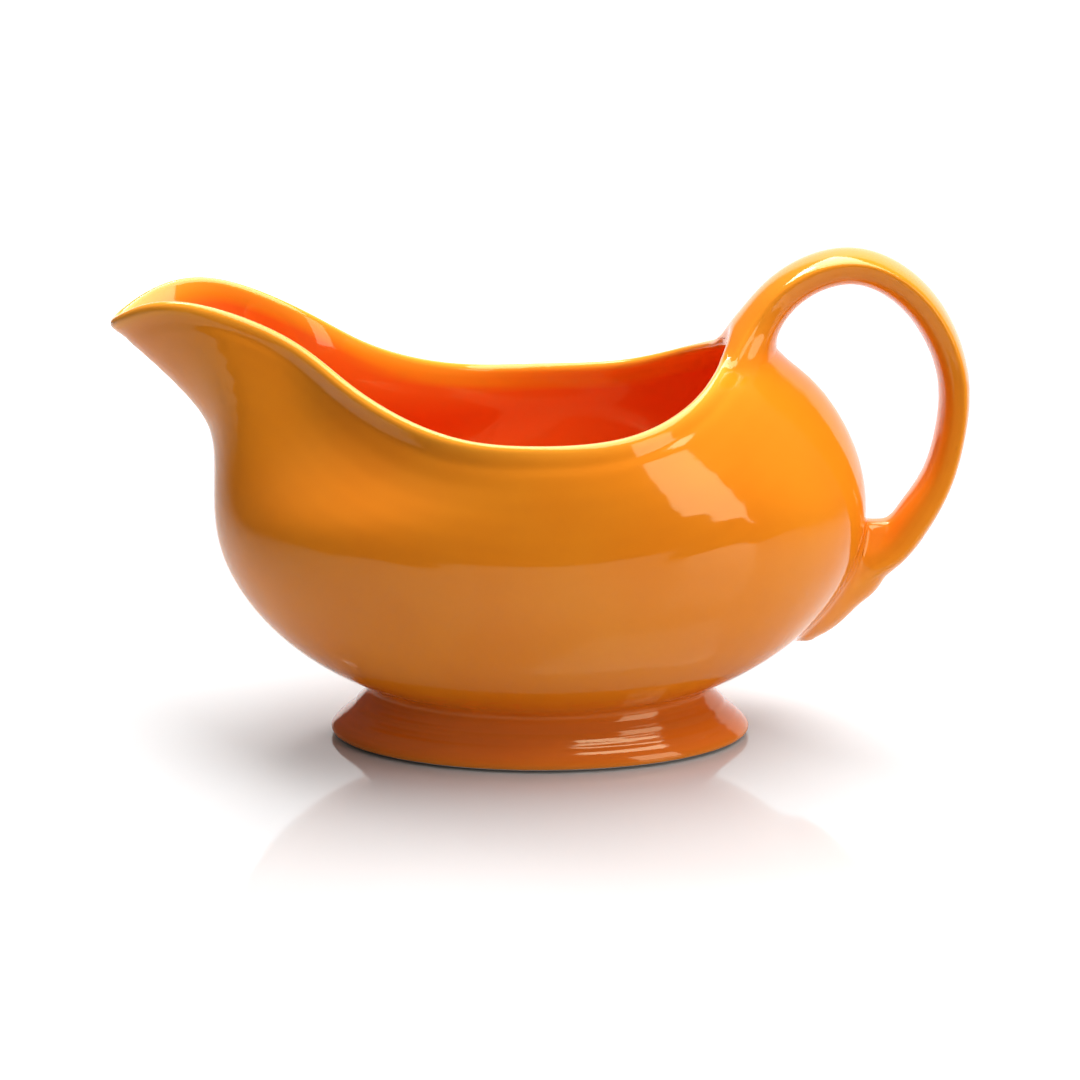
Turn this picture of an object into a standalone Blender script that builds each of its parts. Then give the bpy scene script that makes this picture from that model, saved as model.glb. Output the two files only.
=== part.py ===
"""Footed ceramic gravy boat with a poured spout and a high loop handle.

Frame: the origin is the middle of the foot, on the surface that the boat stands on.
+X runs towards the handle, -X towards the spout, and +Z is up.
All sizes below are in millimetres, and meshes are made in metres.
"""
import math

import bmesh
import bpy
import numpy as np

MM = 0.001
GAP = 0.3             # clearance kept between neighbouring pieces
SLIP = 1.0            # thickness of the slip that lutes two pieces together

# Body: the widest line is an ellipse, and the lower body is a superellipse of revolution.
BELLY_HALF_LENGTH = 84.0
BELLY_HALF_WIDTH = 54.0
BELLY_HEIGHT = 62.5
BODY_DEPTH = 55.7     # from the belly line down to the underside of the body
BODY_POWER = 2.1
LOWER_STEPS = (0.0, 0.28, 0.55, 0.8)   # quarter-turn shares of the levels below the belly
UPPER_STEPS = (0.0, 0.33, 0.67, 1.0)   # shares of the way from the belly to the rim

# Rim: the middle of the rounded lip, as rib angle from the tail, then x, y and z.
RIM_LINE = (
    (0, 49.4, 0.0, 103.2),
    (20, 46.4, 13.6, 100.6),
    (45, 38.0, 33.0, 94.4),
    (68, 22.0, 45.2, 88.4),
    (93, -2.0, 48.4, 86.7),
    (118, -26.0, 40.8, 88.7),
    (139, -49.0, 25.8, 98.4),
    (152, -66.0, 18.9, 109.0),
    (161, -84.0, 18.4, 115.4),
    (170, -98.5, 12.4, 114.2),
    (180, -107.0, 0.0, 109.2),
)
# Ribs between belly and rim: rib angle, upward pull at the belly, then the x, y and z pull at the rim.
RIB_SHAPE = (
    (0, 31.0, -78.0, 0.0, 18.0),
    (45, 31.0, -16.0, -18.0, 32.0),
    (90, 27.0, 1.0, -10.0, 34.0),
    (130, 27.0, -6.0, 1.0, 44.0),
    (155, 33.0, -32.0, 5.0, 60.0),
    (170, 45.0, -72.0, 4.0, 72.0),
    (180, 52.0, -88.0, 0.0, 74.0),
)
LIP_RADIUS = 1.8
WALL = 4.5            # wall of the body away from the lip
THINNING = 0.12       # share of a rib, next to the lip, over which the wall thins
SMALL_TURN = 0.001    # radians, to read the rim's direction

# Foot: an oval ring, whose width is a fixed share of its length.
FOOT_OVAL = 0.62
FOOT_FLARE = ((45.9, 11.5), (49.3, 7.9), (51.4, 6.0), (53.4, 4.2), (54.6, 2.8), (54.9, 1.9), (54.4, 1.3))
NECK = 45.0           # half-length where the foot meets the body
FOOT_BORE_TOP = 39.5
FOOT_BORE_BOTTOM = 46.8
FOOT_BORE_LIP = (46.0, 2.8)   # half-length and height where the bore leaves its straight lower edge
BARE_HEIGHT = 1.0     # unglazed ring that the boat stands on
BARE_OUTSIDE = 53.9
BARE_FLAT = 50.9      # half-length where the ring's flat underside ends
BARE_CHAMFER = 0.5
SLIP_INSET = 1.8      # how far the slip stays back from the foot's faces

# Handle: centre line x, z, half-thickness and half-width, then how oval the strap's section is.
HANDLE_LINE = (
    (48.2, 95.4, 6.6, 19.5, 0.0),
    (49.4, 98.2, 6.6, 17.4, 0.0),
    (52.6, 104.4, 6.3, 13.8, 0.0),
    (55.9, 110.0, 5.5, 11.5, 0.0),
    (60.1, 115.5, 5.0, 10.4, 0.0),
    (69.0, 121.7, 4.7, 10.0, 0.0),
    (79.0, 123.6, 4.6, 9.8, 0.0),
    (91.0, 118.8, 4.5, 9.7, 0.0),
    (100.4, 108.0, 4.3, 9.6, 0.0),
    (105.3, 94.0, 4.0, 9.5, 0.0),
    (104.8, 79.5, 3.9, 9.4, 0.0),
    (101.5, 67.4, 4.2, 9.2, 0.0),
    (96.0, 57.6, 4.9, 8.8, 0.0),
    (89.8, 49.8, 5.3, 8.2, 0.1),
    (85.1, 46.7, 6.5, 7.6, 0.4),
    (81.5, 43.4, 7.5, 7.2, 0.8),
    (78.1, 41.0, 7.9, 7.5, 1.0),
    (74.5, 37.3, 7.8, 8.1, 1.0),
    (70.3, 33.0, 7.1, 8.7, 1.0),
    (67.9, 30.8, 6.2, 8.4, 1.0),
)
TAIL_ROUND = 3.0      # radius that rounds the tail's end
TAIL_STEPS = 3
# Half of the strap's section, as shares of half-width and half-thickness, from its outer crown
# over the crisp edge beside it to the softer inner side.
STRAP_SECTION = (
    (0.0, 1.0), (0.5, 0.87), (0.9, 0.6), (1.0, 0.44), (0.965, 0.1),
    (0.88, -0.38), (0.68, -0.72), (0.35, -0.93), (0.0, -1.0),
)
ROOT_SHARE = 0.10     # share of the handle's length that can touch the rim
TAIL_SHARE = 0.70     # the rest of the length, from here on, can touch the lower body
PAD_SHARE = 0.78      # size of the slip's section, as a share of the strap's
PAD_ROWS = 14
OPENING_EDGE = 1.6    # how far the handle's root reaches over the middle of the lip
OPENING_BLEND = 1.5
WEB_TOP = 57.4        # flat top of the web that fills the narrow crotch above the tail
WEB_HALF_WIDTH = 4.6
WEB_BLEND = 3.0       # how softly the strap's inner side runs into the web
WEB_FROM = 80.0       # x over which the web sets in, inside the body
WEB_RUN = 3.0

AROUND = 80
OUTER_ROWS = 25
INNER_ROWS = 15
LIP_STEPS = 4
FOOT_AROUND = 64
STRAP_AROUND = 24
STRAP_ROWS = 96

GLAZE = (0.76, 0.21, 0.013)
GLAZE_DEEP = (0.66, 0.15, 0.010)
BARE_CLAY = (0.70, 0.64, 0.54)
SLIP_CLAY = (0.62, 0.52, 0.38)
GLAZE_ROUGHNESS = 0.12
CLAY_ROUGHNESS = 0.75


def spline(knots, values, at, slopes=None):
    """Cubic spline with even curvature: closed where slopes is None, else with given end slopes."""
    knots, values, at = np.asarray(knots, float), np.asarray(values, float), np.asarray(at, float)
    steps = np.diff(knots)
    tail_dims = (1,) * (values.ndim - 1)
    rises = np.diff(values, axis=0) / steps.reshape((-1,) + tail_dims)
    count = len(knots)
    matrix = np.zeros((count, count))
    right = np.zeros_like(values)
    for i in range(1, count - 1):
        matrix[i, i - 1:i + 2] = steps[i - 1], 2 * (steps[i - 1] + steps[i]), steps[i]
        right[i] = 6 * (rises[i] - rises[i - 1])
    if slopes is None:
        matrix[0, 0], matrix[0, -1] = 1, -1
        matrix[-1, [0, 1]] = 2 * steps[0], steps[0]
        matrix[-1, [-1, -2]] = 2 * steps[-1], steps[-1]
        right[-1] = 6 * (rises[0] - rises[-1])
    else:
        matrix[0, :2] = 2 * steps[0], steps[0]
        matrix[-1, -2:] = steps[-1], 2 * steps[-1]
        right[0] = 6 * (rises[0] - slopes[0])
        right[-1] = 6 * (slopes[1] - rises[-1])
    bends = np.linalg.solve(matrix, right.reshape(count, -1)).reshape(values.shape)
    cell = np.clip(np.searchsorted(knots, at, side="right") - 1, 0, count - 2)
    step = steps[cell].reshape((-1,) + tail_dims)
    after = ((at - knots[cell]) / steps[cell]).reshape((-1,) + tail_dims)
    before = 1 - after
    curve = (before ** 3 - before) * bends[cell] + (after ** 3 - after) * bends[cell + 1]
    return before * values[cell] + after * values[cell + 1] + curve * step ** 2 / 6


def around_boat(rows, column, angles, mirrored_sign=1):
    """Reads one column of a half-round table at any angle, mirrored to the other side."""
    half_angles = [math.radians(row[0]) for row in rows]
    half_values = [row[column] for row in rows]
    full_angles = half_angles + [2 * math.pi - angle for angle in half_angles[-2::-1]]
    full_values = half_values + [mirrored_sign * value for value in half_values[-2::-1]]
    return spline(full_angles, full_values, np.mod(angles, 2 * math.pi))


def rim_line(angles):
    """Middle of the lip at the given rib angles."""
    across = around_boat(RIM_LINE, 2, angles, mirrored_sign=-1)
    return np.stack([around_boat(RIM_LINE, 1, angles), across, around_boat(RIM_LINE, 3, angles)], -1)


LIP_AT_TAIL = rim_line(np.linspace(0, math.pi / 4, 20))


def lip_beside(sideways):
    """x of the lip's middle near the tail, at the given distances from the middle plane."""
    return np.interp(sideways, LIP_AT_TAIL[:, 1], LIP_AT_TAIL[:, 0])


def unit(vectors):
    return vectors / np.linalg.norm(vectors, axis=-1, keepdims=True)


def ease(share):
    """Smooth step from 0 to 1."""
    share = np.clip(share, 0, 1)
    return share * share * (3 - 2 * share)


def body_height(reach):
    """Height of the lower body's outside, where reach is 0 in the middle and 1 at the belly."""
    return BELLY_HEIGHT - BODY_DEPTH * (1 - reach ** BODY_POWER) ** (1 / BODY_POWER)


def body_levels(angles, top, pull_low, pull_high):
    """Levels of points from the middle of the underside, over the belly line, to the rim."""
    belly = np.stack([BELLY_HALF_LENGTH * np.cos(angles), BELLY_HALF_WIDTH * np.sin(angles)], -1)
    levels = []
    for step in LOWER_STEPS:
        reach = math.sin(step * math.pi / 2)
        levels.append(np.column_stack([belly * reach, np.full(len(angles), body_height(reach))]))
    belly_points = np.column_stack([belly, np.full(len(angles), BELLY_HEIGHT)])
    for u in UPPER_STEPS:
        low, high = 2 * u ** 3 - 3 * u ** 2 + 1, 3 * u ** 2 - 2 * u ** 3
        low_pull, high_pull = u ** 3 - 2 * u ** 2 + u, u ** 3 - u ** 2
        pulls = low_pull * pull_low + high_pull * pull_high
        levels.append(low * belly_points + high * top + pulls)
    return np.array(levels)


def body_surface(angles, rows):
    """Outer surface from the middle of the underside to the lip: points, lip centres and directions."""
    rim = rim_line(angles)
    rim_way = unit(rim_line(angles + SMALL_TURN) - rim_line(angles - SMALL_TURN))
    pull_low = around_boat(RIB_SHAPE, 1, angles)[:, None] * np.array([0.0, 0.0, 1.0])
    pull_across = around_boat(RIB_SHAPE, 3, angles, mirrored_sign=-1)
    pull_along, pull_up = around_boat(RIB_SHAPE, 2, angles), around_boat(RIB_SHAPE, 4, angles)
    pull_high = np.column_stack([pull_along, pull_across, pull_up])
    lip_out = unit(np.cross(rim_way, pull_high))
    lip_up = np.cross(lip_out, rim_way)
    levels = body_levels(angles, rim + LIP_RADIUS * lip_out, pull_low, pull_high)
    spans = np.linalg.norm(np.diff(levels, axis=0), axis=-1).mean(axis=1)
    knots = np.concatenate([[0.0], np.cumsum(spans)])
    outward = levels[1] * (1, 1, 0)
    start = outward / np.linalg.norm(outward, axis=-1).mean()
    end_speed = np.linalg.norm(levels[-1] - levels[-2], axis=-1, keepdims=True) / spans[-1]
    surface = spline(knots, levels, knots[-1] * np.asarray(rows), (start, unit(pull_high) * end_speed))
    return surface, rim, lip_out, lip_up


def surface_normals(surface):
    """Outward normals of the body's grid of points, whose first row is one point."""
    around = np.roll(surface, -1, axis=1) - np.roll(surface, 1, axis=1)
    upward = np.gradient(surface, axis=0)
    normals = np.cross(around[1:], upward[1:])
    down = np.broadcast_to([0.0, 0.0, -1.0], surface[:1].shape)
    return np.concatenate([down, unit(normals)])


def rib_angles(count):
    return np.arange(count) * 2 * math.pi / count


def new_material(name, colour, roughness):
    material = bpy.data.materials.new(name)
    material.use_nodes = True
    shader = material.node_tree.nodes["Principled BSDF"]
    shader.inputs["Base Color"].default_value = (*colour, 1.0)
    shader.inputs["Roughness"].default_value = roughness
    shader.inputs["Metallic"].default_value = 0.0
    material.diffuse_color = (*colour, 1.0)
    return material


def skin(name, rings, material, ring_closed):
    """Object whose skin joins each ring to the next; a ring of one point is a pole.

    ring_closed joins the last ring to the first, and otherwise open ends are capped.
    """
    mesh = bmesh.new()
    loops = [[mesh.verts.new(point * MM) for point in np.atleast_2d(ring)] for ring in rings]
    pairs = list(zip(loops, loops[1:]))
    if ring_closed:
        pairs.append((loops[-1], loops[0]))
    for first, second in pairs:
        count = max(len(first), len(second))
        for i in range(count):
            j = (i + 1) % count
            near = [first[i % len(first)], first[j % len(first)]]
            far = [second[j % len(second)], second[i % len(second)]]
            mesh.faces.new(list(dict.fromkeys(near + far)))
    if not ring_closed:
        for loop in (loops[0], loops[-1]):
            if len(loop) > 1:
                mesh.faces.new(loop)
    bmesh.ops.recalc_face_normals(mesh, faces=mesh.faces)
    data = bpy.data.meshes.new(name)
    mesh.to_mesh(data)
    mesh.free()
    data.shade_smooth()
    data.materials.append(material)
    piece = bpy.data.objects.new(name, data)
    bpy.context.scene.collection.objects.link(piece)
    return piece


def make_bowl():
    """Body and spout: one shell with a rounded lip."""
    angles = rib_angles(AROUND)
    rows = np.linspace(0, 1, OUTER_ROWS)
    outside, rim, lip_out, lip_up = body_surface(angles, rows)
    inner_rows = np.linspace(0, 1, INNER_ROWS)
    inside, _, _, _ = body_surface(angles, inner_rows)
    walls = 2 * LIP_RADIUS + (WALL - 2 * LIP_RADIUS) * ease((1 - inner_rows) / THINNING)
    inside = inside - walls[:, None, None] * surface_normals(inside)
    lip = []
    for step in range(1, LIP_STEPS):
        turn = math.pi * step / LIP_STEPS
        lip.append(rim + LIP_RADIUS * (math.cos(turn) * lip_out + math.sin(turn) * lip_up))
    inside[-1] = rim - LIP_RADIUS * lip_out
    rings = [outside[0, :1], *outside[1:], *lip, *inside[:0:-1], inside[0, :1]]
    return skin("bowl", rings, new_material("bowl_glaze", GLAZE, GLAZE_ROUGHNESS), ring_closed=False)


def filled_body(name, grown):
    """Cutter: the body without its hollow, grown outwards by the given distance."""
    outside, rim, _, _ = body_surface(rib_angles(AROUND), np.linspace(0, 1, OUTER_ROWS))
    outside = outside + grown * surface_normals(outside)
    rings = [outside[0, :1], *outside[1:], rim.mean(axis=0)[None, :]]
    cutter = skin(name, rings, new_material(name, BARE_CLAY, CLAY_ROUGHNESS), ring_closed=False)
    cutter.hide_render = True
    cutter.display_type = "WIRE"
    return cutter


def oval_ring(half_length, height):
    """Level oval ring of the foot."""
    angles = rib_angles(FOOT_AROUND)
    x, y = half_length * np.cos(angles), half_length * FOOT_OVAL * np.sin(angles)
    return np.column_stack([x, y, np.full(FOOT_AROUND, height)])


def ring_under_body(half_length, clearance):
    """Oval ring that follows the body's underside, a little below it."""
    ring = oval_ring(half_length, 0.0)
    reach = np.hypot(ring[:, 0] / BELLY_HALF_LENGTH, ring[:, 1] / BELLY_HALF_WIDTH)
    ring[:, 2] = body_height(reach) - clearance
    return ring


def make_foot():
    """Hollow flared foot, the bare ring under it, and the slip that holds it to the body."""
    seat = 2 * GAP + SLIP
    lowest = BARE_HEIGHT + GAP
    rings = [ring_under_body(NECK, seat)]
    rings += [oval_ring(length, height) for length, height in FOOT_FLARE]
    rings += [oval_ring(FOOT_BORE_BOTTOM, lowest), oval_ring(*FOOT_BORE_LIP)]
    rings += [ring_under_body(FOOT_BORE_TOP, seat)]
    skin("foot", rings, new_material("foot_glaze", GLAZE_DEEP, GLAZE_ROUGHNESS), ring_closed=True)

    inner, outer = FOOT_BORE_BOTTOM, BARE_OUTSIDE
    profile = ((outer, BARE_HEIGHT), (outer, BARE_CHAMFER), (BARE_FLAT, 0.0),
               (inner + BARE_CHAMFER, 0.0), (inner, BARE_CHAMFER), (inner, BARE_HEIGHT))
    bare = [oval_ring(length, height) for length, height in profile]
    skin("foot_rim", bare, new_material("bare_clay", BARE_CLAY, CLAY_ROUGHNESS), ring_closed=True)

    inner, outer = FOOT_BORE_TOP + SLIP_INSET, NECK - SLIP_INSET
    joint = [ring_under_body(outer, GAP), ring_under_body(outer, GAP + SLIP),
             ring_under_body(inner, GAP + SLIP), ring_under_body(inner, GAP)]
    skin("foot_slip_joint", joint, new_material("foot_slip", SLIP_CLAY, CLAY_ROUGHNESS), ring_closed=True)


def strap_stations(first, last, rows):
    """Centre x and z, half-thickness, half-width and ovalness between two shares of the handle."""
    table = np.array(HANDLE_LINE)
    steps = np.linalg.norm(np.diff(table[:, :2], axis=0), axis=1)
    knots = np.concatenate([[0.0], np.cumsum(steps)]) / steps.sum()
    ends = ((table[1] - table[0]) / knots[1], (table[-1] - table[-2]) / (1 - knots[-2]))
    stations = spline(knots, table, np.linspace(first, last, rows), ends)
    return stations, unit(np.gradient(stations[:, :2], axis=0))


def rounded_end(stations, ways):
    """Adds shrinking stations that round the tail's end."""
    added = []
    for step in range(1, TAIL_STEPS + 1):
        turn = 0.5 * math.pi * step / (TAIL_STEPS + 1)
        station = stations[-1].copy()
        station[:2] += ways[-1] * TAIL_ROUND * math.sin(turn)
        station[2:4] -= TAIL_ROUND * (1 - math.cos(turn))
        added.append(station)
    return np.vstack([stations, added]), np.vstack([ways, np.tile(ways[-1], (TAIL_STEPS, 1))])


def strap_sections(ovals):
    """Closed sections, as shares to the side and outwards, for stations of the given ovalness."""
    half = np.array(STRAP_SECTION)
    whole = np.concatenate([half, half[-2:0:-1] * (-1, 1), half[:1]])
    steps = np.linalg.norm(np.diff(whole * (2, 1), axis=0), axis=1)
    knots = np.concatenate([[0.0], np.cumsum(steps)])
    shares = np.arange(STRAP_AROUND) / STRAP_AROUND
    strap = spline(knots, whole, shares * knots[-1])
    oval = np.column_stack([np.sin(2 * math.pi * shares), np.cos(2 * math.pi * shares)])
    ovals = np.clip(ovals, 0, 1)[:, None, None]
    return strap * (1 - ovals) + oval * ovals


def above_zero(values, blend):
    """Values where they are positive, else zero, with a rounded turn of the given half-length."""
    turning = (values + blend) ** 2 / (4 * blend)
    return np.where(values > blend, values, np.where(values < -blend, 0.0, turning))


def keep_off_opening(points):
    """Moves points of the handle's root that hang over the bowl's opening back to the lip's inner edge."""
    edge = lip_beside(np.abs(points[:, 1])) - OPENING_EDGE
    x = edge + above_zero(points[:, 0] - edge, OPENING_BLEND)
    return np.column_stack([x, points[:, 1], points[:, 2]])


def add_web(points, out):
    """Lifts the middle of the strap's inner side to a flat web between the handle and the body."""
    x, y, z = points.T
    middle = np.exp(-(y / WEB_HALF_WIDTH) ** 4) * ease((x - WEB_FROM) / WEB_RUN) * (out < 0)
    return np.column_stack([x, y, z + above_zero(WEB_TOP - z, WEB_BLEND) * middle])


def strap_rings(stations, ways, size):
    """Sections of the handle at its stations, at the given share of their full size."""
    rings = []
    for station, way, section in zip(stations, ways, strap_sections(stations[:, 4])):
        x, z, thick, wide, _ = station
        side, out = section.T * size
        ring = np.column_stack([x - way[1] * thick * out, wide * side, z + way[0] * thick * out])
        rings.append(add_web(keep_off_opening(ring), out))
    return rings


def add_boolean(piece, operation, cutter):
    modifier = piece.modifiers.new(f"{operation.lower()} {cutter.name}", "BOOLEAN")
    modifier.operation = operation
    modifier.solver = "EXACT"
    modifier.object = cutter


def make_handle():
    """Strap handle with its tail, cut clear of the body, and the slip under both its ends."""
    clear_of_body = filled_body("clear_of_body", 2 * GAP + SLIP)
    slip_outside = filled_body("slip_outside", GAP + SLIP)
    slip_inside = filled_body("slip_inside", GAP)
    strap = strap_rings(*rounded_end(*strap_stations(0.0, 1.0, STRAP_ROWS)), size=1.0)
    handle = skin("handle", strap, new_material("handle_glaze", GLAZE, GLAZE_ROUGHNESS), ring_closed=False)
    add_boolean(handle, "DIFFERENCE", clear_of_body)
    slip = new_material("handle_slip", SLIP_CLAY, CLAY_ROUGHNESS)
    ends = {"upper_slip_joint": (0.0, ROOT_SHARE), "lower_slip_joint": (TAIL_SHARE, 1.0)}
    for name, (first, last) in ends.items():
        rings = strap_rings(*strap_stations(first, last, PAD_ROWS), size=PAD_SHARE)
        pad = skin(name, rings, slip, ring_closed=False)
        add_boolean(pad, "INTERSECT", slip_outside)
        add_boolean(pad, "DIFFERENCE", slip_inside)


def main():
    for item in list(bpy.data.objects):
        bpy.data.objects.remove(item, do_unlink=True)
    make_bowl()
    make_foot()
    make_handle()


main()
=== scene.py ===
"""Looks of the footed gravy boat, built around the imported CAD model.

Sizes are in millimetres, as in the part's own source, and meshes are made in metres.
+X runs towards the handle, -X towards the spout, and the boat stands on z = 0.
"""
import math

import bpy
import numpy as np
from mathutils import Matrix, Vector
from mathutils.bvhtree import BVHTree


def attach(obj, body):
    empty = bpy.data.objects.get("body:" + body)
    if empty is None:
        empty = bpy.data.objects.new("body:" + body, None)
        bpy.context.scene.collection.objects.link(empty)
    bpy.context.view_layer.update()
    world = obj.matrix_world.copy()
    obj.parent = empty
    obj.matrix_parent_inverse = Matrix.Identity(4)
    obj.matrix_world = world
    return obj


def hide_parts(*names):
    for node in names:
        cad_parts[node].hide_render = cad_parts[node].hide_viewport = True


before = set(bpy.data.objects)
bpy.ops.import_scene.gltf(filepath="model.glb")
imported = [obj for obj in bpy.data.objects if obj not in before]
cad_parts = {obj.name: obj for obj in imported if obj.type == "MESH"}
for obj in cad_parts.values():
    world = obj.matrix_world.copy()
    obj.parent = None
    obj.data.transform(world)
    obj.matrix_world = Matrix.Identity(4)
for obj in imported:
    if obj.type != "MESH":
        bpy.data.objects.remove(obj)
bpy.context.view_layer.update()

MM = 0.001

# Body: the widest line is an ellipse, and the lower body is a superellipse of revolution.
BELLY_HALF_LENGTH = 84.0
BELLY_HALF_WIDTH = 54.0
BELLY_HEIGHT = 62.5
BODY_DEPTH = 55.7
BODY_POWER = 2.1
LOWER_STEPS = (0.0, 0.28, 0.55, 0.8)   # quarter-turn shares of the levels below the belly
UPPER_STEPS = (0.0, 0.33, 0.67, 1.0)   # shares of the way from the belly to the rim

# Rim: the middle of the rounded lip, as rib angle from the tail, then x, y and z.
RIM_LINE = (
    (0, 49.4, 0.0, 103.2),
    (20, 46.4, 13.6, 100.6),
    (45, 38.0, 33.0, 94.4),
    (68, 22.0, 45.2, 88.4),
    (93, -2.0, 48.4, 86.7),
    (118, -26.0, 40.8, 88.7),
    (139, -49.0, 25.8, 98.4),
    (152, -66.0, 18.9, 109.0),
    (161, -84.0, 18.4, 115.4),
    (170, -98.5, 12.4, 114.2),
    (180, -107.0, 0.0, 109.2),
)
# Ribs between belly and rim: rib angle, upward pull at the belly, then the x, y and z pull at the rim.
RIB_SHAPE = (
    (0, 31.0, -78.0, 0.0, 18.0),
    (45, 31.0, -16.0, -18.0, 32.0),
    (90, 27.0, 1.0, -10.0, 34.0),
    (130, 27.0, -6.0, 1.0, 44.0),
    (155, 33.0, -32.0, 5.0, 60.0),
    (170, 45.0, -72.0, 4.0, 72.0),
    (180, 52.0, -88.0, 0.0, 74.0),
)
LIP_RADIUS = 1.8
LIP_UNDERCUT = 0.22   # shallow hollow that sets the rolled lip off from the outside
UNDERCUT_BELOW = 3.6
UNDERCUT_WIDTH = 1.4
WALL = 4.5
THINNING = 0.12       # share of a rib, next to the lip, over which the wall thins
SMALL_TURN = 0.001    # radians, to read the rim's direction
TAIL_LIP_TO = math.pi / 4   # rib angle up to which the lip is read beside the tail
TAIL_LIP_POINTS = 20

# Turning rings that still show in the glaze.
RIPPLE_PITCH = 5.2
RIPPLE_HEIGHT = 0.02
RIPPLE_FROM = 2.0     # distance below the rim at which they set in, and over how far
RIPPLE_RISE = 4.0
RIPPLE_TO = 46.0      # distance at which they have died away, and over how far
RIPPLE_FALL = 20.0

# Foot: an oval ring, whose width is a fixed share of its length.
FOOT_OVAL = 0.62
FOOT_FLARE = (
    (44.9, 15.0), (45.1, 13.2), (45.9, 11.5), (47.6, 9.7), (49.3, 7.9), (51.4, 6.0),
    (53.4, 4.2), (54.6, 2.8), (54.9, 1.9), (54.5, 1.2), (53.9, 1.0),
)
FOOT_SEAM_ROWS = 9    # rows of points between the wall of the body and the flare
FOOT_BORE_TOP = 39.5
FOOT_BORE_BOTTOM = 46.8
FOOT_STEP_HEIGHT = 7.9   # a turned groove splits the flare into a collar and a skirt
FOOT_STEP_WIDTH = 0.9
FOOT_STEP_DEPTH = 0.14
FOOT_RING_PITCH = 2.3
FOOT_RING_DEPTH = 0.05
FOOT_RINGS_FROM = 2.5    # length along the flare at which the rings set in
FOOT_RINGS_TO = 3.0      # length before its lower end at which they have died away
FOOT_RINGS_EASE = 2.0
# Unglazed ring under the foot, whose outside tapers in to a flat underside.
BARE_OUTSIDE = ((53.9, 1.3), (53.7, 0.95), (52.7, 0.6), (50.9, 0.12), (50.2, 0.0))
BARE_INSIDE = ((47.6, 0.0), (47.0, 0.2), (46.8, 0.6), (46.8, 1.3))
BARE_HEIGHT = 1.0
BARE_OVERLAP_OUTSIDE = 1.2   # how far the glazed foot's underside lies inside the flare's edge
BARE_OVERLAP_INSIDE = 1.0    # how far it lies outside the bore's edge
BORE_PROFILE = (
    (FOOT_BORE_BOTTOM, BARE_HEIGHT + 0.4), (FOOT_BORE_BOTTOM - 1.2, 3.5),
    (FOOT_BORE_TOP + 2.0, 8.0), (FOOT_BORE_TOP, 11.0),
)

# Handle: centre line x, z, half-thickness and half-width, then how oval the strap's section is.
HANDLE_LINE = (
    (48.2, 95.4, 6.6, 19.5, 0.0),
    (49.4, 98.2, 6.6, 17.4, 0.0),
    (52.6, 104.4, 6.3, 13.8, 0.0),
    (55.9, 110.0, 5.5, 11.5, 0.0),
    (60.1, 115.5, 5.0, 10.4, 0.0),
    (69.0, 121.7, 4.7, 10.0, 0.0),
    (79.0, 123.6, 4.6, 9.8, 0.0),
    (91.0, 118.8, 4.5, 9.7, 0.0),
    (100.4, 108.0, 4.3, 9.6, 0.0),
    (105.3, 94.0, 4.0, 9.5, 0.0),
    (104.8, 79.5, 3.9, 9.4, 0.0),
    (101.5, 67.4, 4.2, 9.2, 0.0),
    (96.0, 57.6, 4.9, 8.8, 0.0),
    (89.8, 49.8, 5.3, 8.2, 0.1),
    (85.1, 46.7, 6.5, 7.6, 0.4),
    (81.5, 43.4, 7.5, 7.2, 0.8),
    (78.1, 41.0, 7.9, 7.5, 1.0),
    (74.5, 37.3, 7.8, 8.1, 1.0),
    (70.3, 33.0, 7.1, 8.7, 1.0),
    (67.9, 30.8, 6.2, 8.4, 1.0),
)
ROOT_CORE = ((41.0, 78.6, 6.6, 32.0, 0.0), (44.6, 87.0, 6.6, 25.8, 0.0))   # its start inside the body
TAIL_ROUND = 3.0
STRAP_FLATNESS = 2.0   # half-width over half-thickness, to space the points of a section
# Half of the strap's section, as shares of half-width and half-thickness, from its outer crown
# over the crisp edge beside it to the softer inner side.
STRAP_SECTION = (
    (0.0, 1.0), (0.5, 0.87), (0.9, 0.6), (1.0, 0.44), (0.965, 0.1),
    (0.88, -0.38), (0.68, -0.72), (0.35, -0.93), (0.0, -1.0),
)

OPENING_EDGE = 1.6    # how far the handle's root reaches over the middle of the lip
OPENING_BLEND = 1.5
WEB_TOP = 57.4        # flat top of the web that fills the narrow crotch above the tail
WEB_HALF_WIDTH = 4.6
WEB_BLEND = 3.0       # how softly the strap's inner side runs into the web
WEB_FROM = 80.0       # x over which the web sets in, inside the body
WEB_RUN = 3.0

# How the pieces melt into each other under the glaze.
WELD_ROOT = 11.0      # reach of the fillet between the handle's root and the shoulder
WELD_TAIL = 7.0       # the same beside the tail
WELD_EDGE = 3.0       # the same at the mouth's edge and on top of the web
WELD_FOOT = 2.6
TAIL_HEIGHT = 57.0    # height under which the fillet widens beside the tail, and over how far
TAIL_DROP = 10.0
ROOT_HEIGHT = 66.0    # height from which the fillet widens towards the root, and over how far
ROOT_RISE = 26.0
ROOT_FROM = 0.5       # the same, counted from the middle of the lip outwards
ROOT_RUN = 13.0
SINK = 0.35           # how far one skin dives under the other past the seam
SINK_FROM = 0.8       # depth past the seam at which it starts to dive, and over how far
SINK_RUN = 0.6
WELD_FROM = 0.9       # depth at which it leaves the fillet's surface again, and over how far
WELD_FADE = 0.7
ALIKE_FROM = 0.75     # how alike (as a cosine) two normals must be for the joint's to be used
ALIKE_RUN = 0.2
BURIED = 1.6          # depth in the body's wall at which a welded piece ends
SKIN_MARGIN = 0.6
WELD_STEPS = 4
LEAST_SLOPE = 0.2     # keeps a step short where the two distances grow in opposite directions
TOUCHING = 0.001      # distance under which a point counts as lying on a skin

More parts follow.
